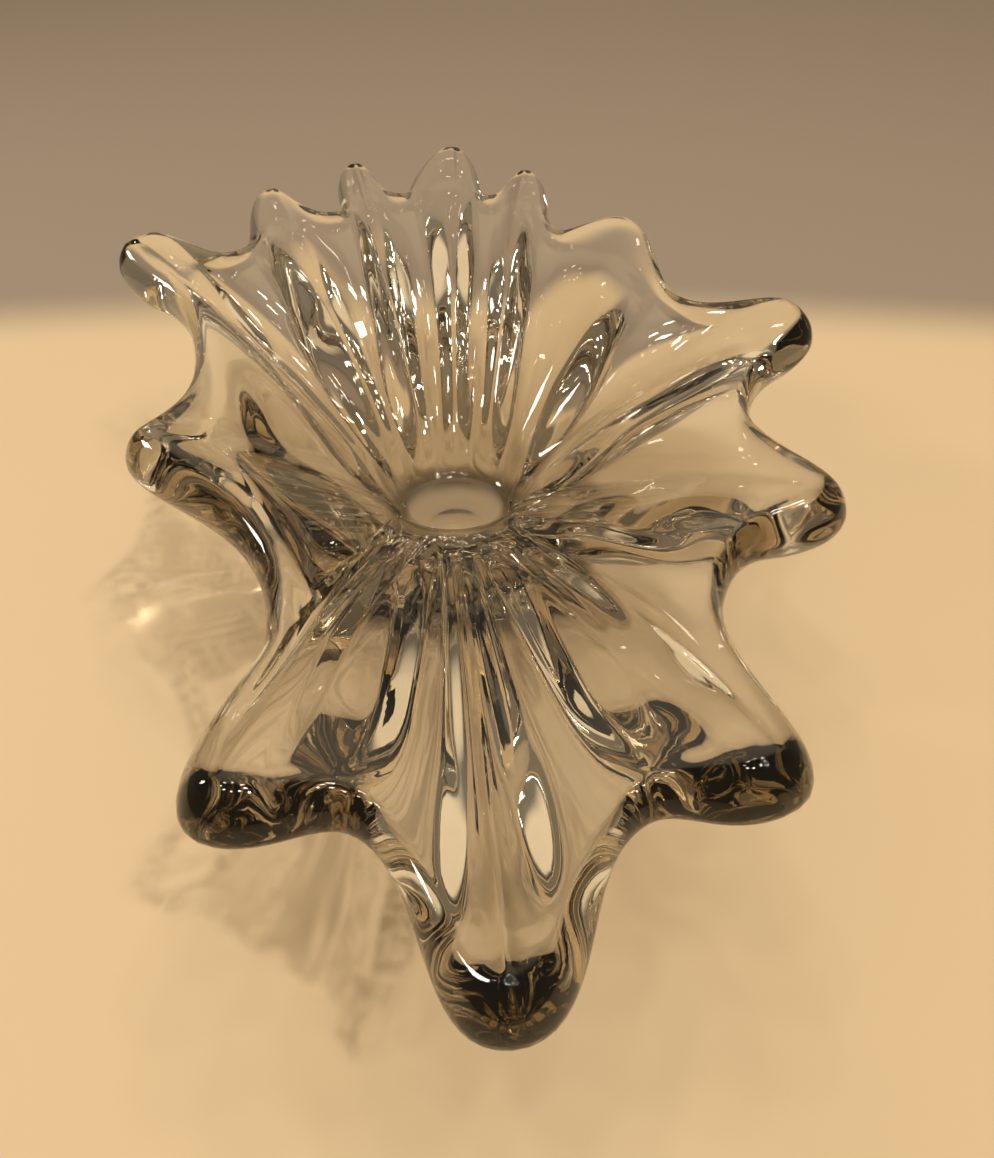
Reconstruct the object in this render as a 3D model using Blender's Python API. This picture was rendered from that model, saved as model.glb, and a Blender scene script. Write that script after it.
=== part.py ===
"""Free-form centrepiece bowl of clear crystal, worked hot as one solid piece.

A thick foot holds a small round well. The wall flares out of the well and is pulled into twelve
fingers with rounded, solid ends, and the rim is scalloped between them. The underside carries a
flat-topped rib below each finger. Metres, +Z up, with the origin at the middle of the polished
foot and the two long ends along Y.
"""

import functools
import math
from typing import NamedTuple

import bmesh
import bpy
from mathutils import Vector

# Whole bowl, over the ends of its fingers, and the height of its highest one
LENGTH = 0.428
WIDTH = 0.285
HEIGHT = 0.1125

# Foot, the polished flat that the bowl stands on
FOOT_RADIUS = 0.041
FOOT_BEVEL = 0.0015
FOOT_WALL_SLOPE = math.radians(76)
FOOT_WALL_HANDLE = 0.030
FOOT_WALL_HANDLE_SHARE = 0.13

# Well
FLOOR_THICKNESS = 0.026
WELL_FLAT_RADIUS = 0.017
WELL_CORNER_WIDTH = 0.010
WELL_CORNER_HEIGHT = 0.009
CORNER_HANDLE_SHARE = 0.50
WELL_WALL_SLOPE = math.radians(56)
WELL_WALL_HANDLE = 0.014
WELL_RADIUS = WELL_FLAT_RADIUS + WELL_CORNER_WIDTH

# Rim and wall
FINGER_END_RADIUS = 0.0138
FINGER_END_DEPTH = 0.0125
NOTCH_RIM_DEPTH = 0.0065
ROLL_SHARE = 0.68
END_FULL_SHARE = 0.12
KEEL_SHARE = 1.25
BOW_CLIMB = 0.30
RIM_SLOPE = math.radians(13)
WALL_THICKNESS = 0.0115
END_REACH_SHARE = 0.42
NOTCH_REACH_SHARE = 0.50
NOTCH_WAY_SHARE = 0.70
NOTCH_LEAST_SHARE = 0.30
END_SPREAD_SHARE = 0.33
NOTCH_SPREAD_SHARE = 0.45
NOTCH_SPREAD_MOST = 0.45
ROOT_LEAN = 0.4

# Ribs below the fingers
RIB_FLANK_WIDTH = 0.0125
RIB_FLANK_SLOPE = math.radians(47)
RIB_LEAST_CREST = 0.12
RIB_EDGE_SOFTNESS = 0.16
VALLEY_SHARE = 0.17
RIB_START_SHARE = 0.30
RIB_END_LENGTH = 0.034
KNOB_LENGTH = 0.045
END_LEAST_SHARE = 0.50


class Finger(NamedTuple):
    """The end of a pulled finger.

    Its place is in shares of the width, length and height, measured from the foot's middle. The
    radius seen from above and the half thickness are shares of the named ones.
    """

    across: float
    along: float
    height: float
    radius: float
    depth: float


class Notch(NamedTuple):
    """The hollow of the rim after a finger, placed as a finger's end is.

    The heading is the bearing in which the rim runs clockwise there, in degrees from +Y. The rim
    keeps to it for these shares of the way to the finger before and to the finger after.
    """

    across: float
    along: float
    height: float
    heading: float
    before: float
    after: float


# Clockwise from the far end, seen from above
FINGERS = (
    Finger(across=-0.017, along=0.417, height=0.933, radius=0.99, depth=0.72),
    Finger(across=0.111, along=0.361, height=0.916, radius=0.77, depth=0.64),
    Finger(across=0.266, along=0.243, height=0.889, radius=1.06, depth=0.72),
    Finger(across=0.488, along=0.073, height=0.818, radius=2.18, depth=0.92),
    Finger(across=0.429, along=-0.214, height=0.800, radius=1.62, depth=1.00),
    Finger(across=0.285, along=-0.464, height=0.844, radius=1.67, depth=0.96),
    Finger(across=0.071, along=-0.585, height=0.858, radius=1.00, depth=0.92),
    Finger(across=-0.155, along=-0.482, height=0.844, radius=1.29, depth=0.96),
    Finger(across=-0.363, along=-0.143, height=0.800, radius=1.53, depth=1.00),
    Finger(across=-0.497, along=0.215, height=0.844, radius=2.21, depth=0.88),
    Finger(across=-0.314, along=0.320, height=0.889, radius=0.90, depth=0.72),
    Finger(across=-0.182, along=0.380, height=0.916, radius=0.87, depth=0.64),
)

# Each one follows the finger of the same number
NOTCHES = (
    Notch(across=0.048, along=0.336, height=0.853, heading=93, before=0.19, after=0.21),
    Notch(across=0.166, along=0.253, height=0.836, heading=124, before=0.30, after=0.07),
    Notch(across=0.327, along=0.116, height=0.809, heading=145, before=0.33, after=0.38),
    Notch(across=0.375, along=-0.058, height=0.791, heading=196, before=0.57, after=0.44),
    Notch(across=0.285, along=-0.288, height=0.791, heading=198, before=0.69, after=0.41),
    Notch(across=0.162, along=-0.472, height=0.804, heading=217, before=0.56, after=0.32),
    Notch(across=-0.028, along=-0.482, height=0.804, heading=325, before=0.40, after=0.59),
    Notch(across=-0.157, along=-0.332, height=0.791, heading=-4, before=0.16, after=0.55),
    Notch(across=-0.360, along=0.065, height=0.791, heading=-19, before=0.82, after=0.57),
    Notch(across=-0.340, along=0.206, height=0.827, heading=51, before=0.30, after=0.31),
    Notch(across=-0.197, along=0.296, height=0.844, heading=68, before=0.45, after=0.20),
    Notch(across=-0.094, along=0.342, height=0.853, heading=61, before=0.41, after=0.05),
)

# Fineness of the mesh
COLUMNS_PER_HALF_FINGER = 6
CORNER_ROWS = 3
INNER_ROWS = 11
ROLL_ROWS = 6
OUTER_ROWS = 11
MERGE_DISTANCE = 0.000001

GLASS_COLOUR = (0.86, 0.83, 0.77, 1.0)
GLASS_ROUGHNESS = 0.02
GLASS_INDEX = 1.54

UP = Vector((0.0, 0.0, 1.0))


def compass(bearing, distance=1.0):
    """The plan vector of this length on a bearing in degrees."""
    angle = math.radians(bearing)
    return Vector((math.sin(angle), math.cos(angle), 0.0)) * distance


def smoothstep(low, high, value):
    share = min(max((value - low) / (high - low), 0.0), 1.0)
    return share * share * (3.0 - 2.0 * share)


def mix(first, second, share):
    return first + (second - first) * share


def finger_at(index):
    return FINGERS[index % len(FINGERS)]


def notch_at(index):
    return NOTCHES[index % len(NOTCHES)]


def place(item):
    """The point of a finger's end or of a notch, at the middle of the rim's thickness."""
    return Vector((item.across * WIDTH, item.along * LENGTH, item.height * HEIGHT))


def finger_root(index):
    """The bearing at which a finger leaves the well: evenly spaced, but leaning to its end."""
    even = index * 360.0 / len(FINGERS)
    end = place(finger_at(index))
    lean = math.degrees(math.atan2(end.x, end.y)) - even
    return even + ROOT_LEAN * ((lean + 180.0) % 360.0 - 180.0)


def root_direction(turn):
    index = math.floor(turn)
    return compass(mix(finger_root(index), finger_root(index + 1), turn - index))


def finger_direction(index):
    """The plan direction in which a finger is pulled: from its place on the well to its end."""
    root = root_direction(index) * (WELL_FLAT_RADIUS + WELL_CORNER_WIDTH)
    direction = place(finger_at(index)) - root
    direction.z = 0.0
    return direction.normalized()


def half_finger(index, side):
    """The rim's four Bezier points from a finger's end to the notch on one side, +1 clockwise."""
    end = place(finger_at(index))
    shape = notch_at(index if side > 0 else index - 1)
    notch = place(shape)
    gap = math.dist(end.xy, notch.xy)
    sweep = -shape.before * gap if side > 0 else shape.after * gap
    notch_handle = notch + compass(shape.heading, sweep)
    along = finger_direction(index)
    across = Vector((along.y, -along.x, 0.0)) * side
    radius = finger_at(index).radius * FINGER_END_RADIUS
    depth = max((end - notch_handle).dot(along), radius)
    # A Bezier curve starts with a radius of 1.5 times its handle squared, over the depth of the next
    end_handle = math.sqrt(radius * depth / 1.5)
    return end, end + across * end_handle, notch_handle, notch


def bezier_point(knots, share):
    a, b, c, d = knots
    rest = 1.0 - share
    return a * rest**3 + b * (3 * share * rest**2) + c * (3 * share**2 * rest) + d * share**3


def bezier_slope(knots, share):
    a, b, c, d = knots
    rest = 1.0 - share
    return (b - a) * (3 * rest**2) + (c - b) * (6 * rest * share) + (d - c) * (3 * share**2)


def rim_axes(outward, depth):
    """The half axes of the rim's rounded section, over its edge and up through it."""
    over = outward * math.cos(RIM_SLOPE) + UP * math.sin(RIM_SLOPE)
    rise = UP * math.cos(RIM_SLOPE) - outward * math.sin(RIM_SLOPE)
    return over * (depth * ROLL_SHARE), rise * depth


def on_rim_slope(control, edge, outward, depth):
    """A point of the control ring, at the height from which the wall climbs at the rim's slope."""
    roll, rise = rim_axes(outward, depth)
    top = edge - roll + rise
    height = top.z - math.tan(RIM_SLOPE) * (top - control).dot(outward)
    return Vector((control.x, control.y, height))


class Notchway:
    """The way up the valley to a notch: its rim point, the rim's heading and the way's direction."""

    def __init__(self, index):
        shape = notch_at(index)
        self.point = place(shape)
        self.run = compass(shape.heading)
        outward = Vector((-self.run.y, self.run.x, 0.0))
        way = self.point - root_direction(index + 0.5) * WELL_RADIUS
        way.z = 0.0
        facing = max(way.normalized().dot(outward), 0.0)
        level = mix(outward, way.normalized(), NOTCH_WAY_SHARE).normalized()
        reach = NOTCH_REACH_SHARE * way.length * mix(NOTCH_LEAST_SHARE, 1.0, facing**2)
        self.control = on_rim_slope(self.point - level * reach, self.point, outward, NOTCH_RIM_DEPTH)


def half_ring(index, side):
    """The Bezier points of the ring that steers the wall, for the same half finger as the rim's."""
    end = place(finger_at(index))
    way = end - root_direction(index) * WELL_RADIUS
    way.z = 0.0
    along = finger_direction(index)
    across = Vector((along.y, -along.x, 0.0)) * side
    control = end - along * (END_REACH_SHARE * way.length)
    control = on_rim_slope(control, end, along, finger_at(index).depth * FINGER_END_DEPTH)
    notchway = Notchway(index if side > 0 else index - 1)
    width = (notchway.control - control).dot(across)
    spread = NOTCH_SPREAD_SHARE * math.dist(end.xy, notchway.point.xy)
    level = notchway.run * side
    if level.dot(across) > 0.0:
        spread = min(spread, NOTCH_SPREAD_MOST * width / level.dot(across))
    control_handle = control + across * (END_SPREAD_SHARE * width)
    notch_handle = notchway.control - level * spread
    return control, control_handle, notch_handle, notchway.control


class Column:
    """One section of the wall, from the well out to the rim, at a turn given in fingers."""

    def __init__(self, turn):
        self.index = index = math.floor(turn + 0.5)
        self.side = side = 1 if turn >= index else -1
        share = 2.0 * abs(turn - index)
        self.root = root_direction(turn)
        edge = bezier_point(half_finger(index, side), share)
        run = bezier_slope(half_finger(index, side), share) * side
        steepness = run.z / math.hypot(run.x, run.y)
        run = Vector((run.x, run.y, 0.0)).normalized()
        outward = Vector((-run.y, run.x, 0.0))
        fullness = 1.0 - smoothstep(END_FULL_SHARE, 1.0, share)
        depth = mix(NOTCH_RIM_DEPTH, finger_at(index).depth * FINGER_END_DEPTH, fullness)
        self.roll, self.rise = rim_axes(outward, depth)
        self.middle = edge - self.roll
        self.inner_control = bezier_point(half_ring(index, side), share)
        self.outer_control = self.inner_control - UP * WALL_THICKNESS

        # The end is this much thicker than the rim at a notch, and its underside is cut back
        self.knob = self.rise * (2.0 * (1.0 - NOTCH_RIM_DEPTH / depth))
        forward = finger_direction(index) * math.cos(RIM_SLOPE) + UP * math.sin(RIM_SLOPE)
        self.keel = forward * (KEEL_SHARE * depth * fullness)
        self.outer_end = self.middle - self.rise + self.knob - self.keel

        # The rounded underside starts as steeply as the wall climbs there, and more at an end
        reach = (self.middle + self.rise - self.inner_control).dot(outward)
        wall_height = self.middle.z + self.rise.z - math.tan(RIM_SLOPE) * reach - WALL_THICKNESS
        reach = (self.outer_end - self.outer_control).dot(outward)
        climb = (self.outer_end.z - wall_height) / reach + BOW_CLIMB * fullness
        lead = self.roll + self.keel
        self.tilt = UP * (climb * lead.dot(outward) + steepness * lead.dot(run) - lead.z)

    def inner(self, share):
        """A point of the inside, from the well's corner at 0 to the top of the rim at 1."""
        start = self.root * WELL_RADIUS + UP * (FLOOR_THICKNESS + WELL_CORNER_HEIGHT)
        climb = self.root * math.cos(WELL_WALL_SLOPE) + UP * math.sin(WELL_WALL_SLOPE)
        knots = start, start + climb * WELL_WALL_HANDLE, self.inner_control, self.middle + self.rise
        return bezier_point(knots, share)

    def outer_knots(self):
        """The Bezier points of the outside without its ribs, from the foot's edge to the rim."""
        start = self.root * FOOT_RADIUS + UP * FOOT_BEVEL
        handle = FOOT_WALL_HANDLE + FOOT_WALL_HANDLE_SHARE * math.dist(start.xy, self.outer_end.xy)
        climb = self.root * math.cos(FOOT_WALL_SLOPE) + UP * math.sin(FOOT_WALL_SLOPE)
        return start, start + climb * handle, self.outer_control, self.outer_end

    def rib(self, point, share):
        """How far the rib stands out at this point of the outside, which is this share of the way."""
        crest, across, width = half_finger_width(self.index, self.side, share)
        way_over = min((point - crest).dot(across) / width, 1.0)
        flank = min(RIB_FLANK_WIDTH / width, 1.0 - VALLEY_SHARE - RIB_LEAST_CREST)
        x = (way_over - (1.0 - VALLEY_SHARE - 0.5 * flank)) / (0.5 * flank)
        ramp = math.hypot(x + 1.0, RIB_EDGE_SOFTNESS) - math.hypot(x - 1.0, RIB_EDGE_SOFTNESS)
        return flank * width * math.tan(RIB_FLANK_SLOPE) * (0.5 - 0.25 * ramp)

    def outer(self, share):
        """A point of the outside, from the foot's edge at 0 to the underside of the rim at 1."""
        point = bezier_point(self.outer_knots(), share)
        slope = bezier_slope(self.outer_knots(), share).normalized()
        down = (slope * slope.z - UP).normalized()
        knob = self.knob * self.near_end(KNOB_LENGTH, share)
        swell = smoothstep(0.0, RIB_START_SHARE, share) * (1.0 - self.near_end(RIB_END_LENGTH, share))
        return point - knob + down * (swell * self.rib(point, share))

    def near_end(self, length, share):
        """How far, from 0 to 1, a share of the way lies into the last stretch of that length."""
        whole = math.dist(self.outer_end.xy, (0.0, 0.0)) - FOOT_RADIUS
        return smoothstep(max(1.0 - length / whole, END_LEAST_SHARE), 1.0, share)

    def rolled(self, share):
        """A point of the rounded rim, from its top at 0 to its underside at 1."""
        sine = math.sin(math.pi * share)
        cosine = math.cos(math.pi * share)
        point = self.middle + self.roll * sine + self.rise * cosine
        if cosine < 0.0:
            point += self.tilt * (sine * cosine**2) - self.keel * (1.0 - sine)
        return point

    def corner(self, share):
        """A point of the hollow corner between the well's floor and its wall."""
        width = WELL_CORNER_WIDTH
        height = WELL_CORNER_HEIGHT
        lift = CORNER_HANDLE_SHARE * height
        knots = (
            Vector((0.0, 0.0)),
            Vector((CORNER_HANDLE_SHARE * width, 0.0)),
            Vector((width - lift / math.tan(WELL_WALL_SLOPE), height - lift)),
            Vector((width, height)),
        )
        step = bezier_point(knots, share)
        return self.root * (WELL_FLAT_RADIUS + step.x) + UP * (FLOOR_THICKNESS + step.y)


@functools.cache
def guide_knots(turn):
    return Column(turn).outer_knots()


@functools.cache
def half_finger_width(index, side, share):
    """The rib's middle at this share of the way out, the plan direction across it and its half width."""
    crest = bezier_point(guide_knots(index), share)
    valley = bezier_point(guide_knots(index + 0.5 * side), share)
    along = bezier_slope(guide_knots(index), share)
    across = Vector((along.y, -along.x, 0.0)).normalized() * side
    return crest, across, (valley - crest).dot(across)


def section(turn):
    """One section's points, from the foot's flat round the rim to the middle of the well."""
    column = Column(turn)
    points = [column.root * (FOOT_RADIUS - FOOT_BEVEL)]
    points += [column.outer(row / OUTER_ROWS) for row in range(OUTER_ROWS)]
    points += [column.rolled(1.0 - row / ROLL_ROWS) for row in range(ROLL_ROWS)]
    points += [column.inner(1.0 - row / INNER_ROWS) for row in range(INNER_ROWS)]
    points += [column.corner(1.0 - row / CORNER_ROWS) for row in range(CORNER_ROWS)]
    points += [column.root * WELL_FLAT_RADIUS + UP * FLOOR_THICKNESS]
    return points


def glass():
    material = bpy.data.materials.new("clear_crystal")
    material.use_nodes = True
    shader = material.node_tree.nodes["Principled BSDF"]
    shader.inputs["Base Color"].default_value = GLASS_COLOUR
    shader.inputs["Roughness"].default_value = GLASS_ROUGHNESS
    shader.inputs["Metallic"].default_value = 0.0
    shader.inputs["IOR"].default_value = GLASS_INDEX
    shader.inputs["Transmission Weight"].default_value = 1.0
    material.diffuse_color = GLASS_COLOUR
    return material


def turned_blank(rows, columns):
    """A plain turned wall with a ring of points for each row, open at its two ends."""
    blank = bmesh.new()
    row_number = blank.verts.layers.int.new("row")
    profile = []
    for row in range(rows):
        vert = blank.verts.new((0.0, 1.0, row / rows))
        vert[row_number] = row
        profile.append(vert)
    edges = [blank.edges.new(pair) for pair in zip(profile, profile[1:])]
    bmesh.ops.spin(
        blank,
        geom=profile + edges,
        axis=(0.0, 0.0, 1.0),
        cent=(0.0, 0.0, 0.0),
        angle=-2.0 * math.pi,
        steps=columns,
        use_merge=True,
    )
    return blank


def pulled_bowl():
    """The blank with each of its points moved to its place on the pulled bowl."""
    columns = 2 * COLUMNS_PER_HALF_FINGER * len(FINGERS)
    sections = [section(column / columns * len(FINGERS)) for column in range(columns)]
    bowl = turned_blank(len(sections[0]), columns)
    row_number = bowl.verts.layers.int["row"]
    for vert in bowl.verts:
        turn = math.atan2(vert.co.x, vert.co.y) / (2.0 * math.pi)
        column = round(turn * columns) % columns
        vert.co = sections[column][vert[row_number]]
    ends = [edge for edge in bowl.edges if edge.is_boundary]
    bmesh.ops.holes_fill(bowl, edges=ends, sides=0)
    bmesh.ops.remove_doubles(bowl, verts=bowl.verts, dist=MERGE_DISTANCE)
    bmesh.ops.recalc_face_normals(bowl, faces=bowl.faces)
    return bowl


def main():
    for obj in list(bpy.data.objects):
        bpy.data.objects.remove(obj)
    bowl = pulled_bowl()
    mesh = bpy.data.meshes.new("bowl")
    bowl.to_mesh(mesh)
    bowl.free()
    mesh.shade_smooth()
    mesh.materials.append(glass())
    bpy.context.scene.collection.objects.link(bpy.data.objects.new("bowl", mesh))


main()
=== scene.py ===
"""Looks of the clear crystal centrepiece bowl: the fine glass, its polish, the stage and light."""

import functools
import math
from typing import NamedTuple

import bmesh
import bpy
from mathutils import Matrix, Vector


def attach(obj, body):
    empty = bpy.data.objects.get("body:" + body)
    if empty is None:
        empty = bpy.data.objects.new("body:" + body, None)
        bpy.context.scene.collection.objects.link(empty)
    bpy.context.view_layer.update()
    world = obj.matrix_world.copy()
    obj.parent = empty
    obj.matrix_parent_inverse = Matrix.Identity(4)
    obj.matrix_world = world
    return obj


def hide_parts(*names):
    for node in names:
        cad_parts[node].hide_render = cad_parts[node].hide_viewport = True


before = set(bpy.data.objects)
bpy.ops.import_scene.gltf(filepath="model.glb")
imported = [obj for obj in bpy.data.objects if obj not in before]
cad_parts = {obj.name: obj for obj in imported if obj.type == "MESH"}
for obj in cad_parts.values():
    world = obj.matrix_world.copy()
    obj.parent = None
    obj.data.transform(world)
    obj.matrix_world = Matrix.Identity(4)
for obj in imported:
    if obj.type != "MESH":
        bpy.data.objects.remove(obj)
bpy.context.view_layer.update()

bl_info = {
    "name": "Crystal centrepiece bowl",
    "version": (1, 0, 0),
    "blender": (4, 5, 0),
    "location": "3D View > Sidebar > Bowl",
    "description": "Builds the glass of a pulled crystal bowl over its packed solid, and its stage",
    "category": "Add Mesh",
}

UP = Vector((0.0, 0.0, 1.0))

# Whole bowl, over the ends of its fingers, and the height of its highest one
LENGTH = 0.428
WIDTH = 0.285
HEIGHT = 0.1125

# Foot, and the radius of the polished hollow in its middle
FOOT_RADIUS = 0.041
FOOT_BEVEL = 0.0015
FOOT_WALL_SLOPE = math.radians(76)
FOOT_WALL_HANDLE = 0.030
FOOT_WALL_HANDLE_SHARE = 0.13
PUNTY_RADIUS = 0.0145

# Well
FLOOR_THICKNESS = 0.026
WELL_FLAT_RADIUS = 0.017
WELL_CORNER_WIDTH = 0.010
WELL_CORNER_HEIGHT = 0.009
CORNER_HANDLE_SHARE = 0.50
WELL_WALL_SLOPE = math.radians(56)
WELL_WALL_HANDLE = 0.014
WELL_RADIUS = WELL_FLAT_RADIUS + WELL_CORNER_WIDTH

# Rim and wall
FINGER_END_RADIUS = 0.0138
FINGER_END_DEPTH = 0.0125
NOTCH_RIM_DEPTH = 0.0065
ROLL_SHARE = 0.68
END_FULL_SHARE = 0.12
KEEL_SHARE = 1.25
BOW_CLIMB = 0.30
RIM_SLOPE = math.radians(13)
END_REACH_SHARE = 0.42
NOTCH_REACH_SHARE = 0.50
NOTCH_WAY_SHARE = 0.70
NOTCH_LEAST_SHARE = 0.30
END_SPREAD_SHARE = 0.33
NOTCH_SPREAD_SHARE = 0.45
NOTCH_SPREAD_MOST = 0.45
ROOT_LEAN = 0.4

# Ribs below the fingers
RIB_LEAST_CREST = 0.12
RIB_EDGE_SOFTNESS = 0.16
VALLEY_SHARE = 0.17
RIB_START_SHARE = 0.30
RIB_END_LENGTH = 0.034
KNOB_LENGTH = 0.045
END_LEAST_SHARE = 0.50

# Fineness of the glass
COLUMNS_PER_HALF_FINGER = 16
PUNTY_ROWS = 6
BEVEL_ROWS = 4
OUTER_ROWS = 52
ROLL_ROWS = 20
INNER_ROWS = 52
CORNER_ROWS = 10
FLOOR_ROWS = 5
MERGE_DISTANCE = 0.000001

# The glass, its fine striae stretched along the flow, and its slow waves
GLASS_INDEX = 1.54
STRIAE_STRETCH = (14.0, 14.0, 1.0)
STRIAE_SCALE = 3.0
STRIAE_DETAIL = 3.0
WAVE_SCALE = 22.0
WAVE_DETAIL = 1.0

# View of the camera, in metres and degrees
CAMERA_PLACE = (0.0174, -0.3287, 0.281)
CAMERA_PITCH = 42.0
CAMERA_NEAREST = 0.01
FRAME_WIDTH = 994
FOCAL_PIXELS = 1000
SENSOR_WIDTH = 36.0

# Floor, just below the foot
FLOOR_SIZE = 6.0
FLOOR_DROP = 0.0005
FLOOR_ROUGHNESS = 0.7

# The floor darkens between these two distances from the middle of its pale part
PALE_MIDDLE = (0.0, -2.00, 0.0)
PALE_LIMITS = (2.195, 2.265)

# The ring of shade under the foot starts and ends softly, at these distances from its middle
FOOT_MIDDLE = (0.0, 0.0, 0.0)
SHADE_START = (0.022, 0.036)
SHADE_END = (0.044, 0.066)

# Lights
LIGHT_TARGET = Vector((0.0, -0.03, 0.05))
KEY_PLACE = (0.90, -0.60, 2.00)
KEY_SIZE = 0.08
KEY_COLOUR = (1.0, 0.90, 0.76)
SIDE_PLACE = (-1.0, 0.30, 0.70)
SIDE_SIZE = 0.20
SIDE_COLOUR = (1.0, 0.92, 0.82)
LAMP_COUNT = 8
LAMP_RING_MIDDLE = Vector((0.05, -0.15, 1.45))
LAMP_RING_RADIUS = 0.42
LAMP_SIZE = 0.09

# Room, whose colour changes with the slant: the height of a direction, with a share of its depth
ROOM_LEAN = 0.9
ROOM_LOW_COLOUR = (0.27, 0.20, 0.11)
ROOM_HIGH_LIMITS = (0.15, 0.80)
ROOM_HIGH_COLOUR = (0.21, 0.17, 0.12)
ROOM_TOP_LIMITS = (1.10, 1.28)
ROOM_TOP_COLOUR = (1.10, 0.88, 0.58)


class Finger(NamedTuple):
    """The end of a pulled finger.

    Its place is in shares of the width, length and height, measured from the foot's middle. The
    radius seen from above and the half thickness are shares of the named ones.
    """

    across: float
    along: float
    height: float
    radius: float
    depth: float


class Notch(NamedTuple):
    """The hollow of the rim after a finger, placed as a finger's end is.

    The heading is the bearing in which the rim runs clockwise there, in degrees from +Y. The rim
    keeps to it for these shares of the way to the finger before and to the finger after.
    """

    across: float
    along: float
    height: float
    heading: float
    before: float
    after: float


# Clockwise from the far end, seen from above
FINGERS = (
    Finger(across=-0.017, along=0.417, height=0.933, radius=0.99, depth=0.72),
    Finger(across=0.111, along=0.361, height=0.916, radius=0.77, depth=0.64),
    Finger(across=0.266, along=0.243, height=0.889, radius=1.06, depth=0.72),
    Finger(across=0.488, along=0.073, height=0.818, radius=2.18, depth=0.92),
    Finger(across=0.429, along=-0.214, height=0.800, radius=1.62, depth=1.00),
    Finger(across=0.285, along=-0.464, height=0.844, radius=1.67, depth=0.96),
    Finger(across=0.071, along=-0.585, height=0.858, radius=1.00, depth=0.92),
    Finger(across=-0.155, along=-0.482, height=0.844, radius=1.29, depth=0.96),
    Finger(across=-0.363, along=-0.143, height=0.800, radius=1.53, depth=1.00),
    Finger(across=-0.497, along=0.215, height=0.844, radius=2.21, depth=0.88),
    Finger(across=-0.314, along=0.320, height=0.889, radius=0.90, depth=0.72),
    Finger(across=-0.182, along=0.380, height=0.916, radius=0.87, depth=0.64),
)

# Each one follows the finger of the same number
NOTCHES = (
    Notch(across=0.048, along=0.336, height=0.853, heading=93, before=0.19, after=0.21),
    Notch(across=0.166, along=0.253, height=0.836, heading=124, before=0.30, after=0.07),
    Notch(across=0.327, along=0.116, height=0.809, heading=145, before=0.33, after=0.38),
    Notch(across=0.375, along=-0.058, height=0.791, heading=196, before=0.57, after=0.44),
    Notch(across=0.285, along=-0.288, height=0.791, heading=198, before=0.69, after=0.41),
    Notch(across=0.162, along=-0.472, height=0.804, heading=217, before=0.56, after=0.32),
    Notch(across=-0.028, along=-0.482, height=0.804, heading=325, before=0.40, after=0.59),
    Notch(across=-0.157, along=-0.332, height=0.791, heading=-4, before=0.16, after=0.55),
    Notch(across=-0.360, along=0.065, height=0.791, heading=-19, before=0.82, after=0.57),
    Notch(across=-0.340, along=0.206, height=0.827, heading=51, before=0.30, after=0.31),
    Notch(across=-0.197, along=0.296, height=0.844, heading=68, before=0.45, after=0.20),
    Notch(across=-0.094, along=0.342, height=0.853, heading=61, before=0.41, after=0.05),
)


class Wall(NamedTuple):
    """Thickness and ribs of the wall, and the depth of the hollow under the foot."""

    thickness: float
    flank_width: float
    flank_slope: float
    punty_depth: float


class BowlSizes(bpy.types.PropertyGroup):
    """Sizes of the glass that can be changed."""

    rib_flank_slope: bpy.props.FloatProperty(
        name="Rib flank slope",
        description="How steeply the flat flanks of a rib rise from the wall",
        default=math.radians(47),
        min=0.0,
        unit="ROTATION",
    )
    rib_flank_width: bpy.props.FloatProperty(
        name="Rib flank width",
        description="Width of the flat flank between a rib and the valley beside it",
        default=0.0125,
        min=0.001,
        unit="LENGTH",
    )
    wall_thickness: bpy.props.FloatProperty(
        name="Wall thickness",
        description="Thickness of the wall between two ribs",
        default=0.0115,
        min=0.004,
        unit="LENGTH",
    )
    punty_depth: bpy.props.FloatProperty(
        name="Punty depth",
        description="Depth of the polished hollow in the middle of the foot",
        default=0.0018,
        min=0.0,
        unit="LENGTH",
    )


class GlassFinish(bpy.types.PropertyGroup):
    """Finish of the glass."""

    tint: bpy.props.FloatVectorProperty(
        name="Tint",
        description="Colour that the glass gives the light that passes through it",
        default=(0.93, 0.92, 0.90),
        subtype="COLOR",
        min=0.0,
        max=1.0,
    )
    depth_tint: bpy.props.FloatVectorProperty(
        name="Depth tint",
        description="Colour that light takes in the thickness of the glass",
        default=(0.60, 0.50, 0.30),
        subtype="COLOR",
        min=0.0,
        max=1.0,
    )
    depth_strength: bpy.props.FloatProperty(
        name="Depth strength",
        description="How fast the thickness of the glass darkens light, for each metre",
        default=12.0,
        min=0.0,
    )
    roughness: bpy.props.FloatProperty(
        name="Roughness",
        description="Roughness of the fire-polished surface",
        default=0.0,
        subtype="FACTOR",
    )
    striae: bpy.props.FloatProperty(
        name="Striae",
        description="Height of the fine lines drawn along the fingers",
        default=0.00001,
        unit="LENGTH",
    )
    waves: bpy.props.FloatProperty(
        name="Waves",
        description="Height of the slow waves in the surface",
        default=0.0001,
        unit="LENGTH",
    )


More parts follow.
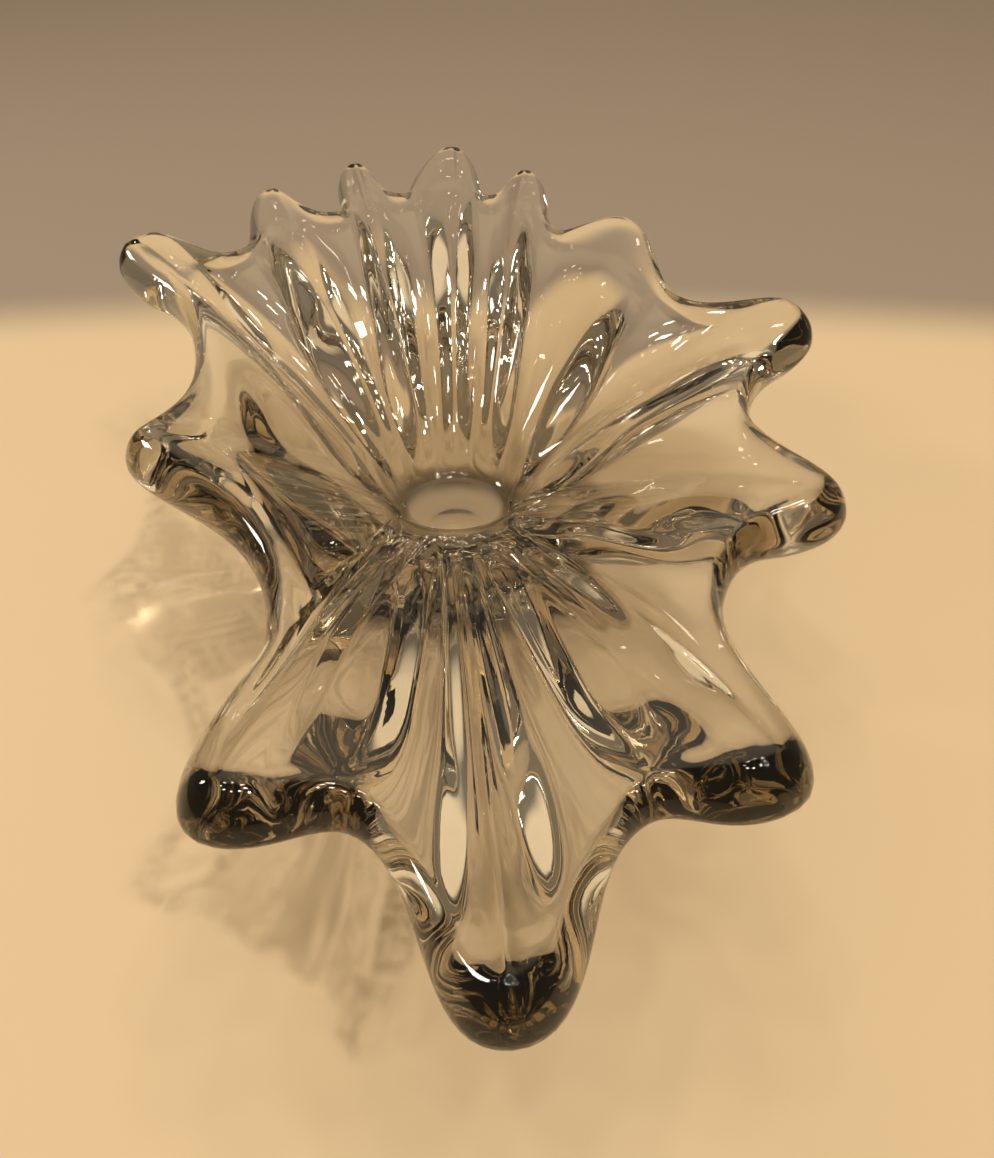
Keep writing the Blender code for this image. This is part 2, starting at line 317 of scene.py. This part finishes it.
class StageLook(bpy.types.PropertyGroup):
    """Floor and light."""

    floor_colour: bpy.props.FloatVectorProperty(
        name="Floor",
        description="Colour of the floor around the bowl",
        default=(0.75, 0.59, 0.38),
        subtype="COLOR",
        min=0.0,
        max=1.0,
    )
    distance_colour: bpy.props.FloatVectorProperty(
        name="Floor in the distance",
        description="Colour of the floor far from the bowl",
        default=(0.33, 0.27, 0.215),
        subtype="COLOR",
        min=0.0,
        max=1.0,
    )
    shade_colour: bpy.props.FloatVectorProperty(
        name="Floor under the foot",
        description="Colour of the floor in the shade of the foot",
        default=(0.22, 0.165, 0.095),
        subtype="COLOR",
        min=0.0,
        max=1.0,
    )
    key_power: bpy.props.FloatProperty(
        name="Key light",
        description="Power of the light above the bowl",
        default=20.0,
        unit="POWER",
    )
    lamp_power: bpy.props.FloatProperty(
        name="Ring of lamps",
        description="Power of each small lamp in the ring above the bowl",
        default=0.8,
        unit="POWER",
    )
    side_power: bpy.props.FloatProperty(
        name="Side light",
        description="Power of the soft light at the left",
        default=3.0,
        unit="POWER",
    )


class Socket:
    """A node socket that works in expressions: each operator adds the node for it."""

    def __init__(self, tree, socket):
        self.tree = tree
        self.socket = socket

    def node(self, kind, settings=None, output=0, **inputs):
        """Adds a node of this kind, with its settings first, and gives one of its outputs.

        An input is named as on the node, or i and its number where names repeat or are missing.
        """
        made = self.tree.nodes.new(kind)
        for name, value in (settings or {}).items():
            setattr(made, name, value)
        for name, value in inputs.items():
            number = name.removeprefix("i")
            slot = made.inputs[int(number) if number.isdigit() else name]
            if isinstance(value, Socket):
                self.tree.links.new(value.socket, slot)
            else:
                slot.default_value = value
        return Socket(self.tree, made.outputs[output])

    def link_to(self, socket):
        self.tree.links.new(self.socket, socket)

    def maths(self, operation, *values):
        inputs = {f"i{number}": value for number, value in enumerate(values)}
        return self.node("ShaderNodeMath", {"operation": operation}, **inputs)

    def __add__(self, other):
        return self.maths("ADD", self, other)

    def __radd__(self, other):
        return self.maths("ADD", other, self)

    def __sub__(self, other):
        return self.maths("SUBTRACT", self, other)

    def __rsub__(self, other):
        return self.maths("SUBTRACT", other, self)

    def __mul__(self, other):
        return self.maths("MULTIPLY", self, other)

    def __rmul__(self, other):
        return self.maths("MULTIPLY", other, self)


def compass(bearing, distance=1.0):
    """The plan vector of this length on a bearing in degrees."""
    angle = math.radians(bearing)
    return Vector((math.sin(angle), math.cos(angle), 0.0)) * distance


def smoothstep(low, high, value):
    share = min(max((value - low) / (high - low), 0.0), 1.0)
    return share * share * (3.0 - 2.0 * share)


def mix(first, second, share):
    return first + (second - first) * share


def finger_at(index):
    return FINGERS[index % len(FINGERS)]


def notch_at(index):
    return NOTCHES[index % len(NOTCHES)]


def place(item):
    """The point of a finger's end or of a notch, at the middle of the rim's thickness."""
    return Vector((item.across * WIDTH, item.along * LENGTH, item.height * HEIGHT))


def finger_root(index):
    """The bearing at which a finger leaves the well: evenly spaced, but leaning to its end."""
    even = index * 360.0 / len(FINGERS)
    end = place(finger_at(index))
    lean = math.degrees(math.atan2(end.x, end.y)) - even
    return even + ROOT_LEAN * ((lean + 180.0) % 360.0 - 180.0)


def root_direction(turn):
    index = math.floor(turn)
    return compass(mix(finger_root(index), finger_root(index + 1), turn - index))


def finger_direction(index):
    """The plan direction in which a finger is pulled: from its place on the well to its end."""
    direction = place(finger_at(index)) - root_direction(index) * WELL_RADIUS
    direction.z = 0.0
    return direction.normalized()


def half_finger(index, side):
    """The rim's four Bezier points from a finger's end to the notch on one side, +1 clockwise."""
    end = place(finger_at(index))
    shape = notch_at(index if side > 0 else index - 1)
    notch = place(shape)
    gap = math.dist(end.xy, notch.xy)
    sweep = -shape.before * gap if side > 0 else shape.after * gap
    notch_handle = notch + compass(shape.heading, sweep)
    along = finger_direction(index)
    across = Vector((along.y, -along.x, 0.0)) * side
    radius = finger_at(index).radius * FINGER_END_RADIUS
    depth = max((end - notch_handle).dot(along), radius)
    # A Bezier curve starts with a radius of 1.5 times its handle squared, over the depth of the next
    end_handle = math.sqrt(radius * depth / 1.5)
    return end, end + across * end_handle, notch_handle, notch


def bezier_point(knots, share):
    a, b, c, d = knots
    rest = 1.0 - share
    return a * rest**3 + b * (3 * share * rest**2) + c * (3 * share**2 * rest) + d * share**3


def bezier_slope(knots, share):
    a, b, c, d = knots
    rest = 1.0 - share
    return (b - a) * (3 * rest**2) + (c - b) * (6 * rest * share) + (d - c) * (3 * share**2)


def rim_axes(outward, depth):
    """The half axes of the rim's rounded section, over its edge and up through it."""
    over = outward * math.cos(RIM_SLOPE) + UP * math.sin(RIM_SLOPE)
    rise = UP * math.cos(RIM_SLOPE) - outward * math.sin(RIM_SLOPE)
    return over * (depth * ROLL_SHARE), rise * depth


def on_rim_slope(control, edge, outward, depth):
    """A point of the control ring, at the height from which the wall climbs at the rim's slope."""
    roll, rise = rim_axes(outward, depth)
    top = edge - roll + rise
    height = top.z - math.tan(RIM_SLOPE) * (top - control).dot(outward)
    return Vector((control.x, control.y, height))


class Notchway:
    """The way up the valley to a notch: its rim point, the rim's heading and the way's direction."""

    def __init__(self, index):
        shape = notch_at(index)
        self.point = place(shape)
        self.run = compass(shape.heading)
        outward = Vector((-self.run.y, self.run.x, 0.0))
        way = self.point - root_direction(index + 0.5) * WELL_RADIUS
        way.z = 0.0
        facing = max(way.normalized().dot(outward), 0.0)
        level = mix(outward, way.normalized(), NOTCH_WAY_SHARE).normalized()
        reach = NOTCH_REACH_SHARE * way.length * mix(NOTCH_LEAST_SHARE, 1.0, facing**2)
        self.control = on_rim_slope(self.point - level * reach, self.point, outward, NOTCH_RIM_DEPTH)


def half_ring(index, side):
    """The Bezier points of the ring that steers the wall, for the same half finger as the rim's."""
    end = place(finger_at(index))
    way = end - root_direction(index) * WELL_RADIUS
    way.z = 0.0
    along = finger_direction(index)
    across = Vector((along.y, -along.x, 0.0)) * side
    control = end - along * (END_REACH_SHARE * way.length)
    control = on_rim_slope(control, end, along, finger_at(index).depth * FINGER_END_DEPTH)
    notchway = Notchway(index if side > 0 else index - 1)
    width = (notchway.control - control).dot(across)
    spread = NOTCH_SPREAD_SHARE * math.dist(end.xy, notchway.point.xy)
    level = notchway.run * side
    if level.dot(across) > 0.0:
        spread = min(spread, NOTCH_SPREAD_MOST * width / level.dot(across))
    control_handle = control + across * (END_SPREAD_SHARE * width)
    notch_handle = notchway.control - level * spread
    return control, control_handle, notch_handle, notchway.control


class Column:
    """One section of the wall, from the well out to the rim, at a turn given in fingers."""

    def __init__(self, turn, wall):
        self.wall = wall
        self.index = index = math.floor(turn + 0.5)
        self.side = side = 1 if turn >= index else -1
        share = 2.0 * abs(turn - index)
        self.root = root_direction(turn)
        edge = bezier_point(half_finger(index, side), share)
        run = bezier_slope(half_finger(index, side), share) * side
        steepness = run.z / math.hypot(run.x, run.y)
        run = Vector((run.x, run.y, 0.0)).normalized()
        outward = Vector((-run.y, run.x, 0.0))
        fullness = 1.0 - smoothstep(END_FULL_SHARE, 1.0, share)
        depth = mix(NOTCH_RIM_DEPTH, finger_at(index).depth * FINGER_END_DEPTH, fullness)
        self.roll, self.rise = rim_axes(outward, depth)
        self.middle = edge - self.roll
        self.inner_control = bezier_point(half_ring(index, side), share)
        self.outer_control = self.inner_control - UP * wall.thickness

        # The end is this much thicker than the rim at a notch, and its underside is cut back
        self.knob = self.rise * (2.0 * (1.0 - NOTCH_RIM_DEPTH / depth))
        forward = finger_direction(index) * math.cos(RIM_SLOPE) + UP * math.sin(RIM_SLOPE)
        self.keel = forward * (KEEL_SHARE * depth * fullness)
        self.outer_end = self.middle - self.rise + self.knob - self.keel

        # The rounded underside starts as steeply as the wall climbs there, and more at an end
        reach = (self.middle + self.rise - self.inner_control).dot(outward)
        wall_height = self.middle.z + self.rise.z - math.tan(RIM_SLOPE) * reach - wall.thickness
        reach = (self.outer_end - self.outer_control).dot(outward)
        climb = (self.outer_end.z - wall_height) / reach + BOW_CLIMB * fullness
        lead = self.roll + self.keel
        self.tilt = UP * (climb * lead.dot(outward) + steepness * lead.dot(run) - lead.z)

    def inner(self, share):
        """A point of the inside, from the well's corner at 0 to the top of the rim at 1."""
        start = self.root * WELL_RADIUS + UP * (FLOOR_THICKNESS + WELL_CORNER_HEIGHT)
        climb = self.root * math.cos(WELL_WALL_SLOPE) + UP * math.sin(WELL_WALL_SLOPE)
        knots = start, start + climb * WELL_WALL_HANDLE, self.inner_control, self.middle + self.rise
        return bezier_point(knots, share)

    def outer_knots(self):
        """The Bezier points of the outside without its ribs, from the foot's edge to the rim."""
        start = self.root * FOOT_RADIUS + UP * FOOT_BEVEL
        handle = FOOT_WALL_HANDLE + FOOT_WALL_HANDLE_SHARE * math.dist(start.xy, self.outer_end.xy)
        climb = self.root * math.cos(FOOT_WALL_SLOPE) + UP * math.sin(FOOT_WALL_SLOPE)
        return start, start + climb * handle, self.outer_control, self.outer_end

    def rib(self, point, share):
        """How far the rib stands out at this point of the outside, which is this share of the way."""
        crest, across, width = half_finger_width(self.index, self.side, share, self.wall)
        way_over = min((point - crest).dot(across) / width, 1.0)
        flank = min(self.wall.flank_width / width, 1.0 - VALLEY_SHARE - RIB_LEAST_CREST)
        x = (way_over - (1.0 - VALLEY_SHARE - 0.5 * flank)) / (0.5 * flank)
        ramp = math.hypot(x + 1.0, RIB_EDGE_SOFTNESS) - math.hypot(x - 1.0, RIB_EDGE_SOFTNESS)
        return flank * width * math.tan(self.wall.flank_slope) * (0.5 - 0.25 * ramp)

    def outer(self, share):
        """A point of the outside, from the foot's edge at 0 to the underside of the rim at 1."""
        point = bezier_point(self.outer_knots(), share)
        slope = bezier_slope(self.outer_knots(), share).normalized()
        down = (slope * slope.z - UP).normalized()
        knob = self.knob * self.near_end(KNOB_LENGTH, share)
        swell = smoothstep(0.0, RIB_START_SHARE, share) * (1.0 - self.near_end(RIB_END_LENGTH, share))
        return point - knob + down * (swell * self.rib(point, share))

    def near_end(self, length, share):
        """How far, from 0 to 1, a share of the way lies into the last stretch of that length."""
        whole = math.dist(self.outer_end.xy, (0.0, 0.0)) - FOOT_RADIUS
        return smoothstep(max(1.0 - length / whole, END_LEAST_SHARE), 1.0, share)

    def rolled(self, share):
        """A point of the rounded rim, from its top at 0 to its underside at 1."""
        sine = math.sin(math.pi * share)
        cosine = math.cos(math.pi * share)
        point = self.middle + self.roll * sine + self.rise * cosine
        if cosine < 0.0:
            point += self.tilt * (sine * cosine**2) - self.keel * (1.0 - sine)
        return point

    def corner(self, share):
        """A point of the hollow corner between the well's floor and its wall."""
        width = WELL_CORNER_WIDTH
        height = WELL_CORNER_HEIGHT
        lift = CORNER_HANDLE_SHARE * height
        knots = (
            Vector((0.0, 0.0)),
            Vector((CORNER_HANDLE_SHARE * width, 0.0)),
            Vector((width - lift / math.tan(WELL_WALL_SLOPE), height - lift)),
            Vector((width, height)),
        )
        step = bezier_point(knots, share)
        return self.root * (WELL_FLAT_RADIUS + step.x) + UP * (FLOOR_THICKNESS + step.y)

    def bevel(self, share):
        """A point of the rounded edge of the foot, from the flat at 0 to the wall at 1."""
        angle = 0.5 * math.pi * share
        radius = FOOT_RADIUS - FOOT_BEVEL * (1.0 - math.sin(angle))
        return self.root * radius + UP * (FOOT_BEVEL * (1.0 - math.cos(angle)))

    def punty(self, share):
        """A point of the polished hollow under the foot, from its middle at 0 to its edge at 1."""
        return self.root * (PUNTY_RADIUS * share) + UP * (self.wall.punty_depth * (1.0 - share**2))

    def floor(self, share):
        """A point of the well's floor, from its middle at 0 to the corner at 1."""
        return self.root * (WELL_FLAT_RADIUS * share) + UP * FLOOR_THICKNESS


@functools.cache
def guide_knots(turn, wall):
    return Column(turn, wall).outer_knots()


@functools.cache
def half_finger_width(index, side, share, wall):
    """The middle of a rib at this share of the way, the direction across it and its half width."""
    crest = bezier_point(guide_knots(index, wall), share)
    valley = bezier_point(guide_knots(index + 0.5 * side, wall), share)
    along = bezier_slope(guide_knots(index, wall), share)
    across = Vector((along.y, -along.x, 0.0)).normalized() * side
    return crest, across, (valley - crest).dot(across)


def section(turn, wall):
    """One section's points, from the middle of the foot round the rim to the middle of the well."""
    column = Column(turn, wall)
    points = [column.punty(row / PUNTY_ROWS) for row in range(PUNTY_ROWS + 1)]
    points += [column.bevel(row / BEVEL_ROWS) for row in range(BEVEL_ROWS)]
    points += [column.outer(row / OUTER_ROWS) for row in range(OUTER_ROWS)]
    points += [column.rolled(1.0 - row / ROLL_ROWS) for row in range(ROLL_ROWS)]
    points += [column.inner(1.0 - row / INNER_ROWS) for row in range(INNER_ROWS)]
    points += [column.corner(1.0 - row / CORNER_ROWS) for row in range(CORNER_ROWS)]
    points += [column.floor(1.0 - row / FLOOR_ROWS) for row in range(FLOOR_ROWS + 1)]
    return points


def turned_blank(rows, columns):
    """A plain turned wall with a ring of points for each row, open at its two ends."""
    blank = bmesh.new()
    row_number = blank.verts.layers.int.new("row")
    profile = []
    for row in range(rows):
        vert = blank.verts.new((0.0, 1.0, row / rows))
        vert[row_number] = row
        profile.append(vert)
    edges = [blank.edges.new(pair) for pair in zip(profile, profile[1:])]
    bmesh.ops.spin(
        blank,
        geom=profile + edges,
        axis=(0.0, 0.0, 1.0),
        cent=(0.0, 0.0, 0.0),
        angle=-2.0 * math.pi,
        steps=columns,
        use_merge=True,
    )
    return blank


def sort_faces(mesh):
    """Puts the faces in the order of their points, because a spin gives them in any order."""
    mesh.verts.index_update()
    ordered = sorted(mesh.faces, key=lambda face: sorted(vert.index for vert in face.verts))
    for number, face in enumerate(ordered):
        face.index = number
    mesh.faces.sort()


def pulled_bowl(wall):
    """The blank with each of its points moved to its place on the pulled bowl.

    Each point keeps its place on the blank as its flow: round the bowl in x and y, and the way
    from the foot to the rim and into the well in z. The striae of the glass follow it.
    """
    columns = 2 * COLUMNS_PER_HALF_FINGER * len(FINGERS)
    sections = [section(column / columns * len(FINGERS), wall) for column in range(columns)]
    bowl = turned_blank(len(sections[0]), columns)
    row_number = bowl.verts.layers.int["row"]
    flow = bowl.verts.layers.float_vector.new("flow")
    for vert in bowl.verts:
        vert[flow] = vert.co
        turn = math.atan2(vert.co.x, vert.co.y) / (2.0 * math.pi)
        column = round(turn * columns) % columns
        vert.co = sections[column][vert[row_number]]
    bmesh.ops.remove_doubles(bowl, verts=bowl.verts, dist=MERGE_DISTANCE)
    bmesh.ops.recalc_face_normals(bowl, faces=bowl.faces)
    sort_faces(bowl)
    return bowl


def new_material(name):
    """A material with no nodes but its output, and the wrapper that its nodes are made with."""
    material = bpy.data.materials.new(name)
    material.use_nodes = True
    tree = material.node_tree
    tree.nodes.clear()
    output = tree.nodes.new("ShaderNodeOutputMaterial")
    return material, Socket(tree, output.inputs["Surface"])


def glass_surface(point, finish):
    """The height of the surface: fine striae along the flow of the glass, and slow waves."""
    flow = point.node("ShaderNodeAttribute", {"attribute_name": "flow"}, output="Vector")
    stretched = flow.node("ShaderNodeVectorMath", {"operation": "MULTIPLY"}, i0=flow, i1=STRIAE_STRETCH)
    striae = flow.node("ShaderNodeTexNoise", Vector=stretched, Scale=STRIAE_SCALE, Detail=STRIAE_DETAIL)
    waves = flow.node("ShaderNodeTexNoise", Vector=point, Scale=WAVE_SCALE, Detail=WAVE_DETAIL)
    return striae * finish.striae + waves * finish.waves


def crystal(finish):
    """Clear glass, drawn along the fingers, which darkens light a little with its thickness."""
    material, surface = new_material("clear_crystal")
    point = surface.node("ShaderNodeTexCoord", output="Object")
    bump = point.node("ShaderNodeBump", Height=glass_surface(point, finish), Strength=1.0, Distance=1.0)
    glass = {
        "Base Color": (*finish.tint, 1.0),
        "Roughness": finish.roughness,
        "IOR": GLASS_INDEX,
        "Transmission Weight": 1.0,
        "Normal": bump,
    }
    point.node("ShaderNodeBsdfPrincipled", **glass).link_to(surface.socket)
    depth = {"Color": (*finish.depth_tint, 1.0), "Density": finish.depth_strength}
    volume = surface.socket.node.inputs["Volume"]
    point.node("ShaderNodeVolumeAbsorption", **depth).link_to(volume)
    return material


def soft_step(value, start, end):
    """A share that goes softly from 0 at the start to 1 at the end."""
    limits = {"From Min": start, "From Max": end}
    return value.node("ShaderNodeMapRange", {"interpolation_type": "SMOOTHSTEP"}, Value=value, **limits)


def blend_colour(share, start, end):
    """A colour that goes from the first one to the second with the share."""
    colours = {
        name: colour if isinstance(colour, Socket) else (*colour, 1.0)
        for name, colour in (("i6", start), ("i7", end))
    }
    return share.node("ShaderNodeMix", {"data_type": "RGBA"}, output=2, i0=share, **colours)


def distance_from(middle, point):
    settings = {"operation": "DISTANCE"}
    return point.node("ShaderNodeVectorMath", settings, output="Value", i0=point, i1=middle)


def floor_finish(look):
    """A plain pale floor that darkens softly away from the bowl, and in a ring under its foot."""
    material, surface = new_material("plain_floor")
    point = surface.node("ShaderNodeTexCoord", output="Object")
    away = soft_step(distance_from(PALE_MIDDLE, point), *PALE_LIMITS)
    lit = blend_colour(away, look.floor_colour, look.distance_colour)
    radius = distance_from(FOOT_MIDDLE, point)
    ring = soft_step(radius, *SHADE_START) * (1.0 - soft_step(radius, *SHADE_END))
    colour = blend_colour(ring, lit, look.shade_colour)
    finish = {"Base Color": colour, "Roughness": FLOOR_ROUGHNESS}
    point.node("ShaderNodeBsdfPrincipled", **finish).link_to(surface.socket)
    return material


def add_object(name, data):
    made = bpy.data.objects.new(name, data)
    bpy.context.scene.collection.objects.link(made)
    return made


def add_area_light(name, position, size, power, colour, shadow):
    """A square light that points at the bowl."""
    lamp = bpy.data.lights.new(name, "AREA")
    lamp.energy = power
    lamp.size = size
    lamp.color = colour
    lamp.use_shadow = shadow
    lamp.cycles.is_caustics_light = True
    light = add_object(name, lamp)
    light.location = position
    light.rotation_euler = (LIGHT_TARGET - light.location).to_track_quat("-Z", "Y").to_euler()


def add_lamp_ring(power):
    """Small lamps in a ring above the bowl, which give the crystal its sparkles."""
    for number in range(LAMP_COUNT):
        angle = 2.0 * math.pi * number / LAMP_COUNT
        outward = Vector((math.cos(angle), math.sin(angle), 0.0))
        position = LAMP_RING_MIDDLE + LAMP_RING_RADIUS * outward
        add_area_light(f"lamp_{number + 1}", position, LAMP_SIZE, power, KEY_COLOUR, shadow=True)


def add_camera():
    lens = bpy.data.cameras.new("camera")
    lens.sensor_fit = "HORIZONTAL"
    lens.sensor_width = SENSOR_WIDTH
    lens.lens = SENSOR_WIDTH * FOCAL_PIXELS / FRAME_WIDTH
    lens.clip_start = CAMERA_NEAREST
    camera = add_object("camera", lens)
    camera.location = CAMERA_PLACE
    camera.rotation_euler = (math.radians(90.0 - CAMERA_PITCH), 0.0, 0.0)
    bpy.context.scene.camera = camera


def room_light():
    """The room around the bowl: pale above, and darker low down and on the camera's side."""
    world = bpy.data.worlds.new("room")
    world.use_nodes = True
    bpy.context.scene.world = world
    tree = world.node_tree
    tree.nodes.clear()
    surface = Socket(tree, tree.nodes.new("ShaderNodeOutputWorld").inputs["Surface"])
    way = surface.node("ShaderNodeTexCoord", output="Generated")
    split = way.node("ShaderNodeSeparateXYZ", Vector=way).socket.node.outputs
    slant = Socket(tree, split["Z"]) + Socket(tree, split["Y"]) * ROOM_LEAN
    colour = blend_colour(soft_step(slant, *ROOM_HIGH_LIMITS), ROOM_LOW_COLOUR, ROOM_HIGH_COLOUR)
    colour = blend_colour(soft_step(slant, *ROOM_TOP_LIMITS), colour, ROOM_TOP_COLOUR)
    way.node("ShaderNodeBackground", Color=colour, Strength=1.0).link_to(surface.socket)


class BOWL_OT_glass(bpy.types.Operator):
    """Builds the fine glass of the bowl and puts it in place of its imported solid"""

    bl_idname = "bowl.glass"
    bl_label = "Build the glass"

    def execute(self, context):
        mesh = bpy.data.meshes.new("bowl_glass")
        sizes = context.scene.bowl_sizes
        wall = Wall(
            thickness=sizes.wall_thickness,
            flank_width=sizes.rib_flank_width,
            flank_slope=sizes.rib_flank_slope,
            punty_depth=sizes.punty_depth,
        )
        bowl = pulled_bowl(wall)
        bowl.to_mesh(mesh)
        bowl.free()
        mesh.shade_smooth()
        mesh.materials.append(crystal(context.scene.bowl_finish))
        glass = add_object("bowl_glass", mesh)
        glass.cycles.is_caustics_caster = True
        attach(glass, "root")
        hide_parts("bowl")
        return {"FINISHED"}


class BOWL_OT_stage(bpy.types.Operator):
    """Lays the floor and sets the lights, the room and the camera"""

    bl_idname = "bowl.stage"
    bl_label = "Set the stage"

    def execute(self, context):
        look = context.scene.bowl_stage
        sheet = bmesh.new()
        bmesh.ops.create_grid(sheet, x_segments=1, y_segments=1, size=0.5 * FLOOR_SIZE)
        bmesh.ops.translate(sheet, verts=sheet.verts, vec=-FLOOR_DROP * UP)
        mesh = bpy.data.meshes.new("floor")
        sheet.to_mesh(mesh)
        sheet.free()
        mesh.materials.append(floor_finish(look))
        floor = add_object("floor", mesh)
        floor.cycles.is_caustics_receiver = True
        # The key light stands for the light that passes through the glass, so it casts no shadow
        add_area_light("key", KEY_PLACE, KEY_SIZE, look.key_power, KEY_COLOUR, shadow=False)
        add_area_light("side", SIDE_PLACE, SIDE_SIZE, look.side_power, SIDE_COLOUR, shadow=True)
        add_lamp_ring(look.lamp_power)
        room_light()
        add_camera()
        context.scene.view_settings.view_transform = "Standard"
        return {"FINISHED"}


class BOWL_PT_panel(bpy.types.Panel):
    """Sizes, finish and stage of the bowl, and the steps that build them"""

    bl_idname = "BOWL_PT_panel"
    bl_label = "Crystal bowl"
    bl_space_type = "VIEW_3D"
    bl_region_type = "UI"
    bl_category = "Bowl"

    def draw(self, context):
        layout = self.layout
        for group in (context.scene.bowl_sizes, context.scene.bowl_finish, context.scene.bowl_stage):
            box = layout.box()
            for name in group.bl_rna.properties.keys():
                if name not in {"rna_type", "name"}:
                    box.prop(group, name)
        for step in STEPS:
            layout.operator(step.bl_idname)


STEPS = (BOWL_OT_glass, BOWL_OT_stage)
CLASSES = (BowlSizes, GlassFinish, StageLook, *STEPS, BOWL_PT_panel)


def register():
    for group in CLASSES:
        bpy.utils.register_class(group)
    bpy.types.Scene.bowl_sizes = bpy.props.PointerProperty(type=BowlSizes)
    bpy.types.Scene.bowl_finish = bpy.props.PointerProperty(type=GlassFinish)
    bpy.types.Scene.bowl_stage = bpy.props.PointerProperty(type=StageLook)


def unregister():
    del bpy.types.Scene.bowl_stage
    del bpy.types.Scene.bowl_finish
    del bpy.types.Scene.bowl_sizes
    for group in reversed(CLASSES):
        bpy.utils.unregister_class(group)


def main():
    register()
    bpy.ops.bowl.glass()
    bpy.ops.bowl.stage()


if __name__ == "__main__":
    main()
